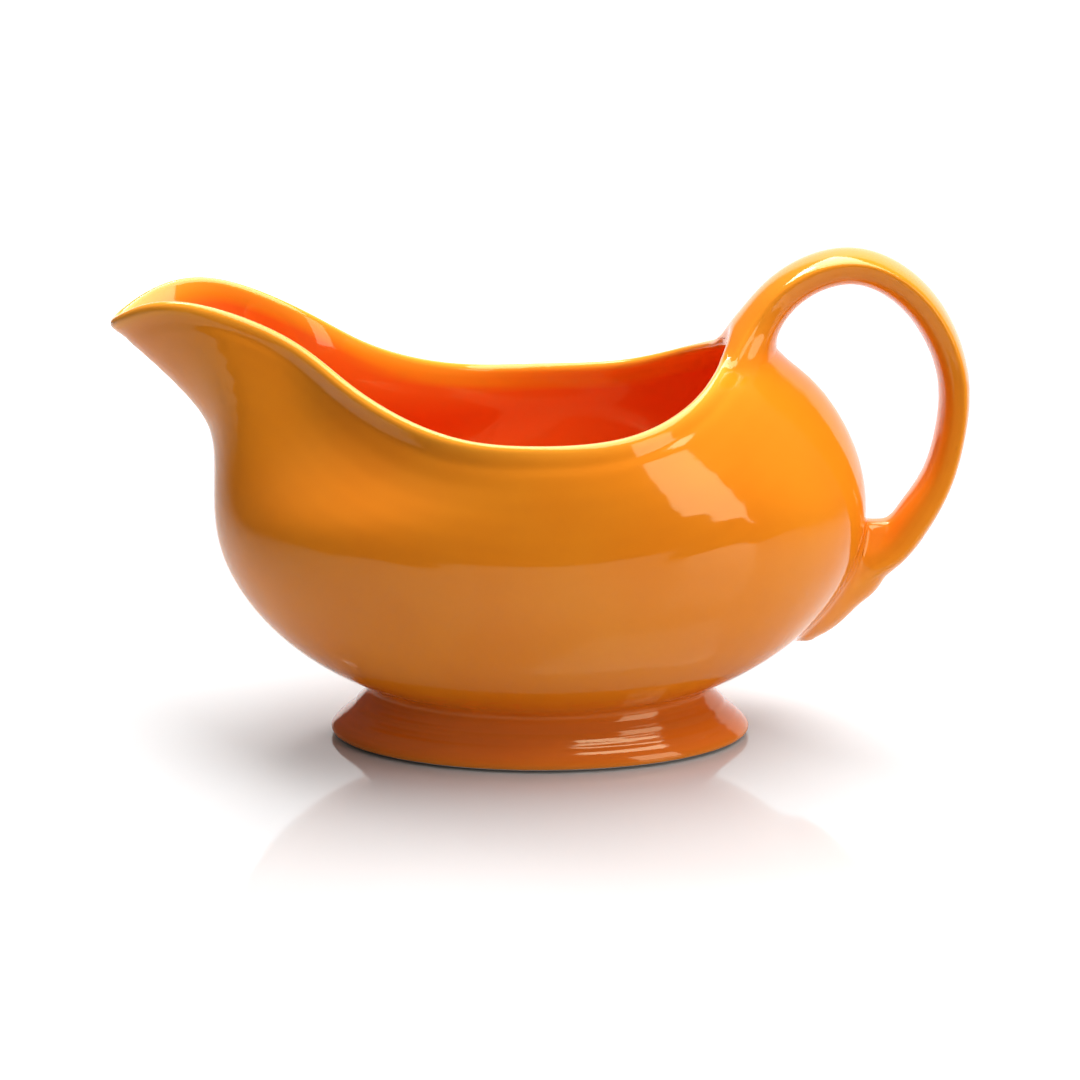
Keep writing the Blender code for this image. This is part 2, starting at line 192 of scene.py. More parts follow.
# Boxes in which points are welded: x from and to, half-width, z from; and an oval around the foot's top.
HANDLE_BOX = (40.0, 104.0, 34.0, 12.0)
FOOT_ZONE = (60.0, 40.0, 7.0, 22.0)   # half-length, half-width, z from and to

# Where the glaze lies thin, by distance from the lip or the bare ring, and where painted shade darkens it:
# in the hollow, on the lower body and foot, under the strap and in the fillets.
THIN_RUN = 1.2
FOOT_THIN_RUN = 0.8
THIN_STRAP = 0.25
THIN_EDGE = 0.4
EDGE_SHARE = 0.06     # how wide the strap's edge counts, as a share of its half-width
SHADE_FROM = 3.0
SHADE_RUN = 2.5
SHADE_FOOT = 0.6
SHADE_STRAP = 0.45
SHADE_JOINT = 0.1      # in the handle's fillets
SHADE_LOW = 0.5        # on the lower body, fading out up to this height
SHADE_HEIGHT = 32.0
FAR = 99.0            # stands for a distance that is out of reach

TRIM = 0.06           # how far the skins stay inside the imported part's coarser ones

AROUND = 384
CROWDING = 0.33       # how strongly the ribs crowd at both ends: 0 is even, and 0.5 is the most
OUTER_ROWS = 180
INNER_ROWS = 60
LIP_STEPS = 14
FOOT_AROUND = 400
FLARE_ROWS = 90
BORE_ROWS = 24
BARE_OUTSIDE_ROWS = 14
BARE_INSIDE_ROWS = 8
STRAP_AROUND = 96
STRAP_ROWS = 420
TAIL_STEPS = 8


def spline(knots, values, at, slopes=None):
    """Cubic spline with even curvature: closed where slopes is None, else with given end slopes."""
    knots, values, at = np.asarray(knots, float), np.asarray(values, float), np.asarray(at, float)
    steps = np.diff(knots)
    tail_dims = (1,) * (values.ndim - 1)
    rises = np.diff(values, axis=0) / steps.reshape((-1,) + tail_dims)
    count = len(knots)
    matrix = np.zeros((count, count))
    right = np.zeros_like(values)
    for i in range(1, count - 1):
        matrix[i, i - 1:i + 2] = steps[i - 1], 2 * (steps[i - 1] + steps[i]), steps[i]
        right[i] = 6 * (rises[i] - rises[i - 1])
    if slopes is None:
        matrix[0, 0], matrix[0, -1] = 1, -1
        matrix[-1, [0, 1]] = 2 * steps[0], steps[0]
        matrix[-1, [-1, -2]] = 2 * steps[-1], steps[-1]
        right[-1] = 6 * (rises[0] - rises[-1])
    else:
        matrix[0, :2] = 2 * steps[0], steps[0]
        matrix[-1, -2:] = steps[-1], 2 * steps[-1]
        right[0] = 6 * (rises[0] - slopes[0])
        right[-1] = 6 * (slopes[1] - rises[-1])
    bends = np.linalg.solve(matrix, right.reshape(count, -1)).reshape(values.shape)
    cell = np.clip(np.searchsorted(knots, at, side="right") - 1, 0, count - 2)
    step = steps[cell].reshape((-1,) + tail_dims)
    after = ((at - knots[cell]) / steps[cell]).reshape((-1,) + tail_dims)
    before = 1 - after
    curve = (before ** 3 - before) * bends[cell] + (after ** 3 - after) * bends[cell + 1]
    return before * values[cell] + after * values[cell + 1] + curve * step ** 2 / 6


def around_boat(rows, column, angles, mirrored_sign=1):
    """Reads one column of a half-round table at any angle, mirrored to the other side."""
    half_angles = [math.radians(row[0]) for row in rows]
    half_values = [row[column] for row in rows]
    full_angles = half_angles + [2 * math.pi - angle for angle in half_angles[-2::-1]]
    full_values = half_values + [mirrored_sign * value for value in half_values[-2::-1]]
    return spline(full_angles, full_values, np.mod(angles, 2 * math.pi))


def rim_line(angles):
    """Middle of the lip at the given rib angles."""
    across = around_boat(RIM_LINE, 2, angles, mirrored_sign=-1)
    return np.stack([around_boat(RIM_LINE, 1, angles), across, around_boat(RIM_LINE, 3, angles)], -1)


LIP_AT_TAIL = rim_line(np.linspace(0, TAIL_LIP_TO, TAIL_LIP_POINTS))


def lip_beside(sideways):
    """x of the lip's middle near the tail, at the given distances from the middle plane."""
    return np.interp(sideways, LIP_AT_TAIL[:, 1], LIP_AT_TAIL[:, 0])


def unit(vectors):
    return vectors / np.linalg.norm(vectors, axis=-1, keepdims=True)


def ease(share):
    """Smooth step from 0 to 1."""
    share = np.clip(share, 0, 1)
    return share * share * (3 - 2 * share)


def body_height(reach):
    """Height of the lower body's outside, where reach is 0 in the middle and 1 at the belly."""
    return BELLY_HEIGHT - BODY_DEPTH * (1 - reach ** BODY_POWER) ** (1 / BODY_POWER)


def body_levels(angles, top, pull_low, pull_high):
    """Levels of points from the middle of the underside, over the belly line, to the rim."""
    belly = np.stack([BELLY_HALF_LENGTH * np.cos(angles), BELLY_HALF_WIDTH * np.sin(angles)], -1)
    levels = []
    for step in LOWER_STEPS:
        reach = math.sin(step * math.pi / 2)
        levels.append(np.column_stack([belly * reach, np.full(len(angles), body_height(reach))]))
    belly_points = np.column_stack([belly, np.full(len(angles), BELLY_HEIGHT)])
    for u in UPPER_STEPS:
        low, high = 2 * u ** 3 - 3 * u ** 2 + 1, 3 * u ** 2 - 2 * u ** 3
        low_pull, high_pull = u ** 3 - 2 * u ** 2 + u, u ** 3 - u ** 2
        pulls = low_pull * pull_low + high_pull * pull_high
        levels.append(low * belly_points + high * top + pulls)
    return np.array(levels)


def body_surface(angles, rows):
    """Outer surface from the middle of the underside to the lip: points, lip centres and directions."""
    rim = rim_line(angles)
    rim_way = unit(rim_line(angles + SMALL_TURN) - rim_line(angles - SMALL_TURN))
    pull_low = around_boat(RIB_SHAPE, 1, angles)[:, None] * np.array([0.0, 0.0, 1.0])
    pull_across = around_boat(RIB_SHAPE, 3, angles, mirrored_sign=-1)
    pull_along, pull_up = around_boat(RIB_SHAPE, 2, angles), around_boat(RIB_SHAPE, 4, angles)
    pull_high = np.column_stack([pull_along, pull_across, pull_up])
    lip_out = unit(np.cross(rim_way, pull_high))
    lip_up = np.cross(lip_out, rim_way)
    levels = body_levels(angles, rim + LIP_RADIUS * lip_out, pull_low, pull_high)
    spans = np.linalg.norm(np.diff(levels, axis=0), axis=-1).mean(axis=1)
    knots = np.concatenate([[0.0], np.cumsum(spans)])
    outward = levels[1] * (1, 1, 0)
    start = outward / np.linalg.norm(outward, axis=-1).mean()
    end_speed = np.linalg.norm(levels[-1] - levels[-2], axis=-1, keepdims=True) / spans[-1]
    surface = spline(knots, levels, knots[-1] * np.asarray(rows), (start, unit(pull_high) * end_speed))
    return surface, rim, lip_out, lip_up


def surface_normals(surface):
    """Outward normals of the body's grid of points, whose first row is one point."""
    around = np.roll(surface, -1, axis=1) - np.roll(surface, 1, axis=1)
    upward = np.gradient(surface, axis=0)
    normals = np.cross(around[1:], upward[1:])
    down = np.broadcast_to([0.0, 0.0, -1.0], surface[:1].shape)
    return np.concatenate([down, unit(normals)])


def end_crowded_angles(count):
    """Rib angles that lie closer together at the tail and the spout, where the body turns sharply."""
    even = np.arange(count) * 2 * math.pi / count
    return even - CROWDING * np.sin(2 * even)


class Skin:
    """Points and faces of one closed piece, where its glaze runs thin and where painted shade darkens it,
    how freely it welds, and its joints.
    """

    def __init__(self, rings, ring_closed):
        """Joins each ring to the next; a ring of one point is a pole, and open ends are capped."""
        rings = [np.atleast_2d(ring) for ring in rings]
        self.points = np.concatenate(rings)
        self.faces = []
        starts = np.concatenate([[0], np.cumsum([len(ring) for ring in rings])])
        loops = [np.arange(starts[i], starts[i + 1]) for i in range(len(rings))]
        pairs = list(zip(loops, loops[1:]))
        if ring_closed:
            pairs.append((loops[-1], loops[0]))
        for first, second in pairs:
            self._join(first, second)
        if not ring_closed:
            self._cap(loops[0][::-1])
            self._cap(loops[-1])
        if self._volume() < 0:
            self.faces = [face[::-1] for face in self.faces]
        self.thin = np.zeros(len(self.points))
        self.painted_shade = np.zeros(len(self.points))
        self.free = np.ones(len(self.points))
        self.joint_share = np.zeros(len(self.points))
        self.joint_normal = np.zeros(self.points.shape)

    def _join(self, first, second):
        if len(first) == 1:
            around = np.roll(second, -1)
            self.faces += [(first[0], b, a) for a, b in zip(second, around)]
        elif len(second) == 1:
            around = np.roll(first, -1)
            self.faces += [(a, b, second[0]) for a, b in zip(first, around)]
        else:
            rows = zip(first, np.roll(first, -1), np.roll(second, -1), second)
            self.faces += [tuple(row) for row in rows]

    def _cap(self, loop):
        if len(loop) > 1:
            centre = len(self.points)
            self.points = np.concatenate([self.points, self.points[loop].mean(axis=0)[None, :]])
            self.faces += [(a, b, centre) for a, b in zip(loop, np.roll(loop, -1))]

    def _volume(self):
        """Six times the signed volume: negative where the faces point inwards."""
        fans = [(face[0], face[i], face[i + 1]) for face in self.faces for i in range(1, len(face) - 1)]
        a, b, c = (self.points[column] for column in np.array(fans).T)
        return float(np.einsum("ij,ij->", a, np.cross(b, c)))

    def tree(self):
        return BVHTree.FromPolygons([Vector(point) for point in self.points], self.faces)

    def piece(self, piece_name, material):
        data = bpy.data.meshes.new(piece_name)
        data.from_pydata((self.points * MM).tolist(), [], self.faces)
        data.update()
        for name, values in (("thin_glaze", self.thin), ("painted_shade_share", self.painted_shade)):
            layer = data.attributes.new(name, "FLOAT", "POINT")
            layer.data.foreach_set("value", values.astype(np.float32))
        data.shade_smooth()
        normals = np.empty(self.points.size)
        data.vertex_normals.foreach_get("vector", normals)
        normals = normals.reshape(-1, 3)
        agreement = (normals * self.joint_normal).sum(axis=1)
        share = (self.joint_share * ease((agreement - ALIKE_FROM) / ALIKE_RUN))[:, None]
        normals = normals * (1 - share) + self.joint_normal * share
        data.normals_split_custom_set_from_vertices(unit(normals).tolist())
        data.materials.append(material)
        made = bpy.data.objects.new(piece_name, data)
        bpy.context.scene.collection.objects.link(made)
        return made


def distance(tree, point):
    """Signed distance to a closed skin, negative inside it, and the way that it grows."""
    place, normal, _, _ = tree.find_nearest(point)
    apart = point - place
    span = apart.length
    if span < TOUCHING:
        return apart.dot(normal), normal
    inside = apart.dot(normal) < 0
    return (-span, -apart / span) if inside else (span, apart / span)


def handle_reach(point):
    """Reach of the fillet along the handle: wide on the shoulder, tight at the mouth and on the web."""
    past_lip = point[0] - lip_beside(abs(point[1]))
    root = ease((point[2] - ROOT_HEIGHT) / ROOT_RISE) * ease((past_lip - ROOT_FROM) / ROOT_RUN)
    tail = ease((TAIL_HEIGHT - point[2]) / TAIL_DROP)
    return WELD_EDGE + (WELD_ROOT - WELD_EDGE) * root + (WELD_TAIL - WELD_EDGE) * tail


def foot_reach(_):
    return WELD_FOOT


def near_handle(points):
    start, end, half_width, lowest = HANDLE_BOX
    x, y, z = points.T
    return (x > start) & (x < end) & (np.abs(y) < half_width) & (z > lowest)


def near_foot(points):
    half_length, half_width, lowest, highest = FOOT_ZONE
    x, y, z = points.T
    return (z > lowest) & (z < highest) & (np.hypot(x / half_length, y / half_width) < 1)


def bury(skin, filled_tree, bowl_tree, outside_tree):
    """Draws the parts of a skin that would show in the bowl's hollow back into its wall."""
    for index, place in enumerate(skin.points):
        point = Vector(place)
        depth, _ = distance(filled_tree, point)
        if depth > -SKIN_MARGIN:
            continue
        wall, _ = distance(bowl_tree, point)
        if depth < -BURIED or wall > -SKIN_MARGIN:
            above, normal, _, _ = outside_tree.find_nearest(point)
            skin.points[index] = above - normal * BURIED


def weld(skin, own_tree, other_tree, reach_at, near, painted_shade):
    """Melts a skin into its neighbour: both move onto one rounded surface, and are shaded alike there."""
    for index in np.nonzero(near(skin.points) & (skin.free > 0))[0]:
        start = Vector(skin.points[index])
        reach = float(reach_at(start))
        other, _ = distance(other_tree, start)
        if other > reach:
            continue
        hidden = ease((-other - SINK_FROM) / SINK_RUN)
        share = (1 - ease((-other - WELD_FROM) / WELD_FADE)) * skin.free[index]
        point = start.copy()
        for _ in range(WELD_STEPS):
            own, own_way = distance(own_tree, point)
            other, other_way = distance(other_tree, point)
            gap = max(reach - abs(own - other), 0) / reach
            level = min(own, other) - gap ** 3 * reach / 6
            own_part = 0.5 * gap * gap
            if own < other:
                own_part = 1 - own_part
            slope = own_way * own_part + other_way * (1 - own_part)
            wanted = -SINK * hidden
            point -= slope * ((level - wanted) / max(slope.length_squared, LEAST_SLOPE))
        skin.points[index] = start.lerp(point, float(share))
        joined = 2 * min(own_part, 1 - own_part) * skin.free[index]
        if joined > skin.joint_share[index]:
            skin.joint_share[index] = joined
            skin.joint_normal[index] = slope.normalized()
        skin.thin[index] *= 1 - joined
        # Painted shade in the fillet's crease where the pieces meet.
        skin.painted_shade[index] += (painted_shade - skin.painted_shade[index]) * joined


def make_bowl_skin():
    """Body and spout: one shell with a rounded lip and faint turning rings on its upper half."""
    angles = end_crowded_angles(AROUND)
    outside, rim, lip_out, lip_up = body_surface(angles, np.linspace(0, 1, OUTER_ROWS))
    steps = np.linalg.norm(np.diff(outside, axis=0), axis=-1)
    below_rim = np.concatenate([np.cumsum(steps[::-1], axis=0)[::-1], np.zeros((1, AROUND))])
    ripple = np.sin(2 * math.pi * below_rim / RIPPLE_PITCH)
    rising = ease((below_rim - RIPPLE_FROM) / RIPPLE_RISE)
    strength = rising * ease((RIPPLE_TO - below_rim) / RIPPLE_FALL)
    height = RIPPLE_HEIGHT * strength * ripple
    height -= LIP_UNDERCUT * np.exp(-((below_rim - UNDERCUT_BELOW) / UNDERCUT_WIDTH) ** 2) + TRIM
    outside = outside + height[..., None] * surface_normals(outside)

    inner_rows = np.linspace(0, 1, INNER_ROWS)
    inside, _, _, _ = body_surface(angles, inner_rows)
    walls = 2 * LIP_RADIUS + (WALL - 2 * LIP_RADIUS) * ease((1 - inner_rows) / THINNING)
    inside = inside - walls[:, None, None] * surface_normals(inside)
    lip_radius = LIP_RADIUS - TRIM
    inside[-1] = rim - lip_radius * lip_out
    lip = []
    for step in range(1, LIP_STEPS):
        turn = math.pi * step / LIP_STEPS
        lip.append(rim + lip_radius * (math.cos(turn) * lip_out + math.sin(turn) * lip_up))
    rings = [outside[0, :1], *outside[1:], *lip, *inside[:0:-1], inside[0, :1]]
    skin = Skin(rings, ring_closed=False)

    inner_steps = np.linalg.norm(np.diff(inside, axis=0), axis=-1)
    inner_below = np.concatenate([np.cumsum(inner_steps[::-1], axis=0)[::-1], np.zeros((1, AROUND))])
    on_lip = [np.zeros(AROUND) for _ in lip]
    pole = np.full(1, FAR)
    from_lip = np.concatenate([pole, *below_rim[1:], *on_lip, *inner_below[:0:-1], pole])
    skin.thin = np.exp(-from_lip / THIN_RUN)
    lip_start = 1 + (OUTER_ROWS - 1) * AROUND
    inner_start = lip_start + len(lip) * AROUND
    # Painted shade: the hollow turns darker red away from the lip, and the outside darker towards the
    # bottom.
    skin.painted_shade[inner_start:] = ease((from_lip[inner_start:] - SHADE_FROM) / SHADE_RUN)
    low = ease((SHADE_HEIGHT - skin.points[:inner_start, 2]) / SHADE_HEIGHT)
    skin.painted_shade[:inner_start] = SHADE_LOW * low
    skin.free[inner_start:] = 0
    turned = np.repeat(np.arange(1, LIP_STEPS) / LIP_STEPS, AROUND)
    skin.free[lip_start:inner_start] = ease(2 * (1 - turned))
    return skin


def body_trees():
    """The body's outside as an open shell, and closed over without its hollow."""
    outside, rim, _, _ = body_surface(end_crowded_angles(AROUND), np.linspace(0, 1, OUTER_ROWS))
    filled = Skin([outside[0, :1], *outside[1:], rim.mean(axis=0)[None, :]], ring_closed=False)
    cover = len(filled.points) - 1
    shell = [face for face in filled.faces if cover not in face]
    return BVHTree.FromPolygons([Vector(point) for point in filled.points], shell), filled.tree()


def oval_ring(half_length, height):
    """Oval ring of the foot at one height."""
    angles = np.arange(FOOT_AROUND) * 2 * math.pi / FOOT_AROUND
    x, y = half_length * np.cos(angles), half_length * FOOT_OVAL * np.sin(angles)
    return np.column_stack([x, y, np.zeros(FOOT_AROUND) + height])


def body_height_over(ring):
    return body_height(np.hypot(ring[:, 0] / BELLY_HALF_LENGTH, ring[:, 1] / BELLY_HALF_WIDTH))


def smooth_profile(points, count):
    """Even points along a smooth open curve through the given profile, and its length."""
    points = np.array(points)
    steps = np.linalg.norm(np.diff(points, axis=0), axis=1)
    knots = np.concatenate([[0.0], np.cumsum(steps)])
    slopes = ((points[1] - points[0]) / steps[0], (points[-1] - points[-2]) / steps[-1])
    return spline(knots, points, np.linspace(0, knots[-1], count), slopes), knots[-1]


def make_foot_skin():
    """Hollow flared foot with turned rings, from inside the body's wall down to the bare ring."""
    profile, length = smooth_profile(FOOT_FLARE, FLARE_ROWS)
    ways = unit(np.gradient(profile, axis=0))
    way_out = np.column_stack([-ways[:, 1], ways[:, 0]])
    run = np.linspace(0, length, len(profile))
    rising = ease((run - FOOT_RINGS_FROM) / FOOT_RINGS_EASE)
    strength = rising * ease((length - FOOT_RINGS_TO - run) / FOOT_RINGS_EASE)
    groove = FOOT_RING_DEPTH * strength * (np.cos(2 * math.pi * run / FOOT_RING_PITCH) - 1) / 2
    groove -= FOOT_STEP_DEPTH * np.exp(-((profile[:, 1] - FOOT_STEP_HEIGHT) / FOOT_STEP_WIDTH) ** 2)
    profile = profile + groove[:, None] * way_out
    rings = []
    top = oval_ring(FOOT_FLARE[0][0], 0)
    top[:, 2] = body_height_over(top) + BURIED
    first = oval_ring(*profile[0])
    for step in range(FOOT_SEAM_ROWS):
        rings.append(top + (first - top) * step / FOOT_SEAM_ROWS)
    rings += [oval_ring(x, z) for x, z in profile]
    rings.append(oval_ring(FOOT_FLARE[-1][0] - BARE_OVERLAP_OUTSIDE, BARE_HEIGHT))
    rings.append(oval_ring(FOOT_BORE_BOTTOM + BARE_OVERLAP_INSIDE, BARE_HEIGHT))
    bore, _ = smooth_profile(BORE_PROFILE, BORE_ROWS)
    rings += [oval_ring(x, z) for x, z in bore]
    last = oval_ring(FOOT_BORE_TOP, 0)
    last[:, 2] = body_height_over(last) + BURIED
    rings.append(last)
    skin = Skin(rings, ring_closed=True)
    skin.thin = np.exp(-np.maximum(skin.points[:, 2] - BARE_HEIGHT, 0) / FOOT_THIN_RUN)
    # Painted shade over the whole foot, which sits in the body's shadow.
    skin.painted_shade[:] = SHADE_FOOT
    return skin


def make_foot_rim_skin():
    """The bare ring under the foot."""
    outer, _ = smooth_profile(BARE_OUTSIDE, BARE_OUTSIDE_ROWS)
    inner, _ = smooth_profile(BARE_INSIDE, BARE_INSIDE_ROWS)
    return Skin([oval_ring(x, z) for x, z in [*outer, *inner]], ring_closed=True)


def above_zero(values, blend):
    """Values where they are positive, else zero, with a rounded turn of the given half-length."""
    turning = (values + blend) ** 2 / (4 * blend)
    return np.where(values > blend, values, np.where(values < -blend, 0.0, turning))


def keep_off_opening(points):
    """Moves points of the handle's root that hang over the bowl's opening back to the lip's inner edge."""
    edge = lip_beside(np.abs(points[:, 1])) - OPENING_EDGE
    x = edge + above_zero(points[:, 0] - edge, OPENING_BLEND)
    return np.column_stack([x, points[:, 1], points[:, 2]])


def add_web(points, out):
    """Lifts the middle of the strap's inner side to a flat web between the handle and the body."""
    x, y, z = points.T
    middle = np.exp(-(y / WEB_HALF_WIDTH) ** 4) * ease((x - WEB_FROM) / WEB_RUN) * (out < 0)
    return np.column_stack([x, y, z + above_zero(WEB_TOP - z, WEB_BLEND) * middle])


def strap_section(ovals):
    """Sections of the strap at stations of the given ovalness: how far to the side and how far out."""
    half = np.array(STRAP_SECTION)
    whole = np.concatenate([half, half[-2:0:-1] * (-1, 1), half[:1]])
    steps = np.linalg.norm(np.diff(whole * (STRAP_FLATNESS, 1), axis=0), axis=1)
    knots = np.concatenate([[0.0], np.cumsum(steps)])
    shares = np.arange(STRAP_AROUND) / STRAP_AROUND
    strap = spline(knots, whole, shares * knots[-1])
    oval = np.column_stack([np.sin(2 * math.pi * shares), np.cos(2 * math.pi * shares)])
    ovals = ovals[:, None, None]
    return strap * (1 - ovals) + oval * ovals


def make_handle_skin(line):
    """Strap handle from inside the body, over the loop, to the rounded end of its tail."""
    table = np.array(line)
    steps = np.linalg.norm(np.diff(table[:, :2], axis=0), axis=1)
    knots = np.concatenate([[0.0], np.cumsum(steps)]) / steps.sum()
    ends = ((table[1] - table[0]) / knots[1], (table[-1] - table[-2]) / (1 - knots[-2]))
    stations = spline(knots, table, np.linspace(0, 1, STRAP_ROWS), ends)
    ways = unit(np.gradient(stations[:, :2], axis=0))
    for step in range(1, TAIL_STEPS):
        turn = 0.5 * math.pi * step / TAIL_STEPS
        last = stations[STRAP_ROWS - 1].copy()
        last[:2] += ways[-1] * TAIL_ROUND * math.sin(turn)
        last[2:4] -= TAIL_ROUND * (1 - math.cos(turn))
        stations = np.vstack([stations, last])
        ways = np.vstack([ways, ways[-1]])
    sections = strap_section(np.clip(stations[:, 4], 0, 1))
    rings = []
    for (x, z, full_thick, full_wide, _), (way_x, way_z), section in zip(stations, ways, sections):
        thick, wide = full_thick - TRIM, full_wide - TRIM
        side, out = section.T
        ring = np.column_stack([x - way_z * thick * out, wide * side, z + way_x * thick * out])
        rings.append(add_web(keep_off_opening(ring), out))
    skin = Skin(rings, ring_closed=False)
    on_edge = np.exp(-((np.abs(sections[..., 0]) - 1) / EDGE_SHARE) ** 2) * (sections[..., 1] > 0)
    skin.thin[:on_edge.size] = THIN_STRAP + THIN_EDGE * on_edge.ravel()
    # Painted shade on the strap's inner side, which faces down and in.
    skin.painted_shade[:on_edge.size] = SHADE_STRAP * ease(-sections[..., 1].ravel())
    return skin


def new_material(name):
    material = bpy.data.materials.new(name)
    material.use_nodes = True
    nodes = material.node_tree.nodes
    return material, nodes, material.node_tree.links, nodes["Principled BSDF"]


def noise(nodes, links, place, scale, detail=2.0):
    made = nodes.new("ShaderNodeTexNoise")
    made.inputs["Scale"].default_value = scale
    made.inputs["Detail"].default_value = detail
    links.new(place.outputs["Object"], made.inputs["Vector"])
    return made.outputs["Fac"]


def ramp(nodes, links, source, low, high, start=(0, 0, 0, 1), end=(1, 1, 1, 1)):
    made = nodes.new("ShaderNodeValToRGB")
    made.color_ramp.elements[0].position = low
    made.color_ramp.elements[0].color = start
    made.color_ramp.elements[1].position = high
    made.color_ramp.elements[1].color = end
    links.new(source, made.inputs["Fac"])
    return made.outputs["Color"]


def mix(nodes, links, share, first, second):
    made = nodes.new("ShaderNodeMix")
    made.data_type = "RGBA"
    sockets = {"Factor": share, "A": first, "B": second}
    places = {"Factor": made.inputs[0], "A": made.inputs[6], "B": made.inputs[7]}
    for key, value in sockets.items():
        if isinstance(value, (tuple, float)):
            places[key].default_value = value
        else:
            links.new(value, places[key])
    return made.outputs[2]


def add_bump(nodes, links, shader, height, strength, metres):
    made = nodes.new("ShaderNodeBump")
    made.inputs["Strength"].default_value = strength
    made.inputs["Distance"].default_value = metres
    links.new(height, made.inputs["Height"])
    links.new(made.outputs["Normal"], shader.inputs["Normal"])


GLAZE_DEEP = (0.730, 0.190, 0.006, 1)
GLAZE_MID = (0.760, 0.225, 0.009, 1)
GLAZE_THIN = (0.850, 0.290, 0.018, 1)
# Painted shade: a darker red for the hollow, the lower body, the foot, the strap's underside and the
# fillets.
GLAZE_PAINTED_SHADE = (0.720, 0.100, 0.008, 1)
GLAZE_SHEEN = (1.0, 0.89, 0.54, 1)      # tint of the reflections seen straight on
CLAY_PALE = (0.760, 0.700, 0.610, 1)
CLAY_DARK = (0.560, 0.490, 0.400, 1)
GLAZE_SMOOTH = (0.05, 0.05, 0.05, 1)    # least and most roughness of the glaze
GLAZE_DULL = (0.09, 0.09, 0.09, 1)
GLAZE_IOR = 1.5
CLAY_ROUGHNESS = 0.8
# Noise values between which the glaze's colour and its roughness change, then noise scales, per metre.
CLOUD_BAND = (0.3, 0.7)
FILM_BAND = (0.2, 0.8)
CLOUD_SCALE = 26.0
FILM_SCALE = 60.0
PEEL_SCALE = 160.0
GRAIN_SCALE = 900.0
GRIT_SCALE = 1800.0
PEEL_STRENGTH = 0.2
PEEL_HEIGHT = 0.0002
GRIT_STRENGTH = 0.5
GRIT_HEIGHT = 0.0001


def glaze_material(name):
    """Glossy opaque glaze: darker red where painted shade lies, golden where it runs thin over edges."""
    material, nodes, links, shader = new_material(name)
    place = nodes.new("ShaderNodeTexCoord")

    def share(layer):
        made = nodes.new("ShaderNodeAttribute")
        made.attribute_name = layer
        return made.outputs["Fac"]

    cloud = ramp(nodes, links, noise(nodes, links, place, CLOUD_SCALE, detail=3.0), *CLOUD_BAND)
    body = mix(nodes, links, cloud, GLAZE_DEEP, GLAZE_MID)
    # Painted shade: the glaze turns darker red by each point's shade share.
    painted_shade = mix(nodes, links, share("painted_shade_share"), body, GLAZE_PAINTED_SHADE)
    links.new(mix(nodes, links, share("thin_glaze"), painted_shade, GLAZE_THIN), shader.inputs["Base Color"])
    film = noise(nodes, links, place, FILM_SCALE)
    dullness = ramp(nodes, links, film, *FILM_BAND, GLAZE_SMOOTH, GLAZE_DULL)
    links.new(dullness, shader.inputs["Roughness"])
    shader.inputs["IOR"].default_value = GLAZE_IOR
    shader.inputs["Specular Tint"].default_value = GLAZE_SHEEN
    peel = noise(nodes, links, place, PEEL_SCALE)
    add_bump(nodes, links, shader, peel, PEEL_STRENGTH, PEEL_HEIGHT)
    return material


def clay_material(name):
    """Bare fired clay: pale, dry and finely grained."""
    material, nodes, links, shader = new_material(name)
    place = nodes.new("ShaderNodeTexCoord")
    grain = noise(nodes, links, place, GRAIN_SCALE, detail=4.0)
    links.new(mix(nodes, links, grain, CLAY_PALE, CLAY_DARK), shader.inputs["Base Color"])
    shader.inputs["Roughness"].default_value = CLAY_ROUGHNESS
    grit = noise(nodes, links, place, GRIT_SCALE, detail=3.0)
    add_bump(nodes, links, shader, grit, GRIT_STRENGTH, GRIT_HEIGHT)
    return material


def make_boat():
    bowl, foot, handle = make_bowl_skin(), make_foot_skin(), make_handle_skin(HANDLE_LINE)
    foot_rim = make_foot_rim_skin()
    outside_tree, filled_tree = body_trees()
    bowl_tree, foot_tree = bowl.tree(), foot.tree()
    handle_tree = make_handle_skin(ROOT_CORE + HANDLE_LINE).tree()
    bury(handle, filled_tree, bowl_tree, outside_tree)
    weld(handle, handle_tree, bowl_tree, handle_reach, near_handle, SHADE_JOINT)
    weld(foot, foot_tree, bowl_tree, foot_reach, near_foot, SHADE_FOOT)
    weld(bowl, bowl_tree, handle_tree, handle_reach, near_handle, SHADE_JOINT)
    weld(bowl, bowl_tree, foot_tree, foot_reach, near_foot, SHADE_FOOT)

    glaze = glaze_material("tangerine_glaze")
    clay = clay_material("bare_clay")
    pieces = {
        "bowl_glazed": (bowl, glaze, "bowl", "glaze"),
        "foot_glazed": (foot, glaze, "foot", "glaze"),
        "handle_glazed": (handle, glaze, "handle", "glaze"),
        "foot_rim_bare": (foot_rim, clay, "foot_rim", "bare_clay"),
    }
    for name, (skin, material, node, slot) in pieces.items():
        piece = skin.piece(name, material)
        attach(piece, "root")
        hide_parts(node)
    slip = clay_material("slip_clay")
    for node in ("foot_slip_joint", "upper_slip_joint", "lower_slip_joint"):
        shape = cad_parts[node]
        shape.data.materials.clear()
        shape.data.materials.append(slip)


FLOOR_FRONT = -0.19
FLOOR_BACK = 0.55
FLOOR_HALF_WIDTH = 2.0
BACKDROP_WAY = (0.30, 0.95, 0.0)    # horizontal direction of the middle of the bright backdrop
ROOM_LEVEL = 0.12
CEILING_LEVEL = 0.3
BACKDROP_LEVEL = 1.4
BACKDROP_EDGE = (0.66, 0.74)        # cosines between which the backdrop fades in
CEILING_EDGE = (0.2, 0.9)           # the same for the ceiling, seen from straight below

TABLE_WHITE = (0.54, 0.54, 0.545, 1)
TABLE_ROUGHNESS = 0.06
GLASSY_IOR = 1.5

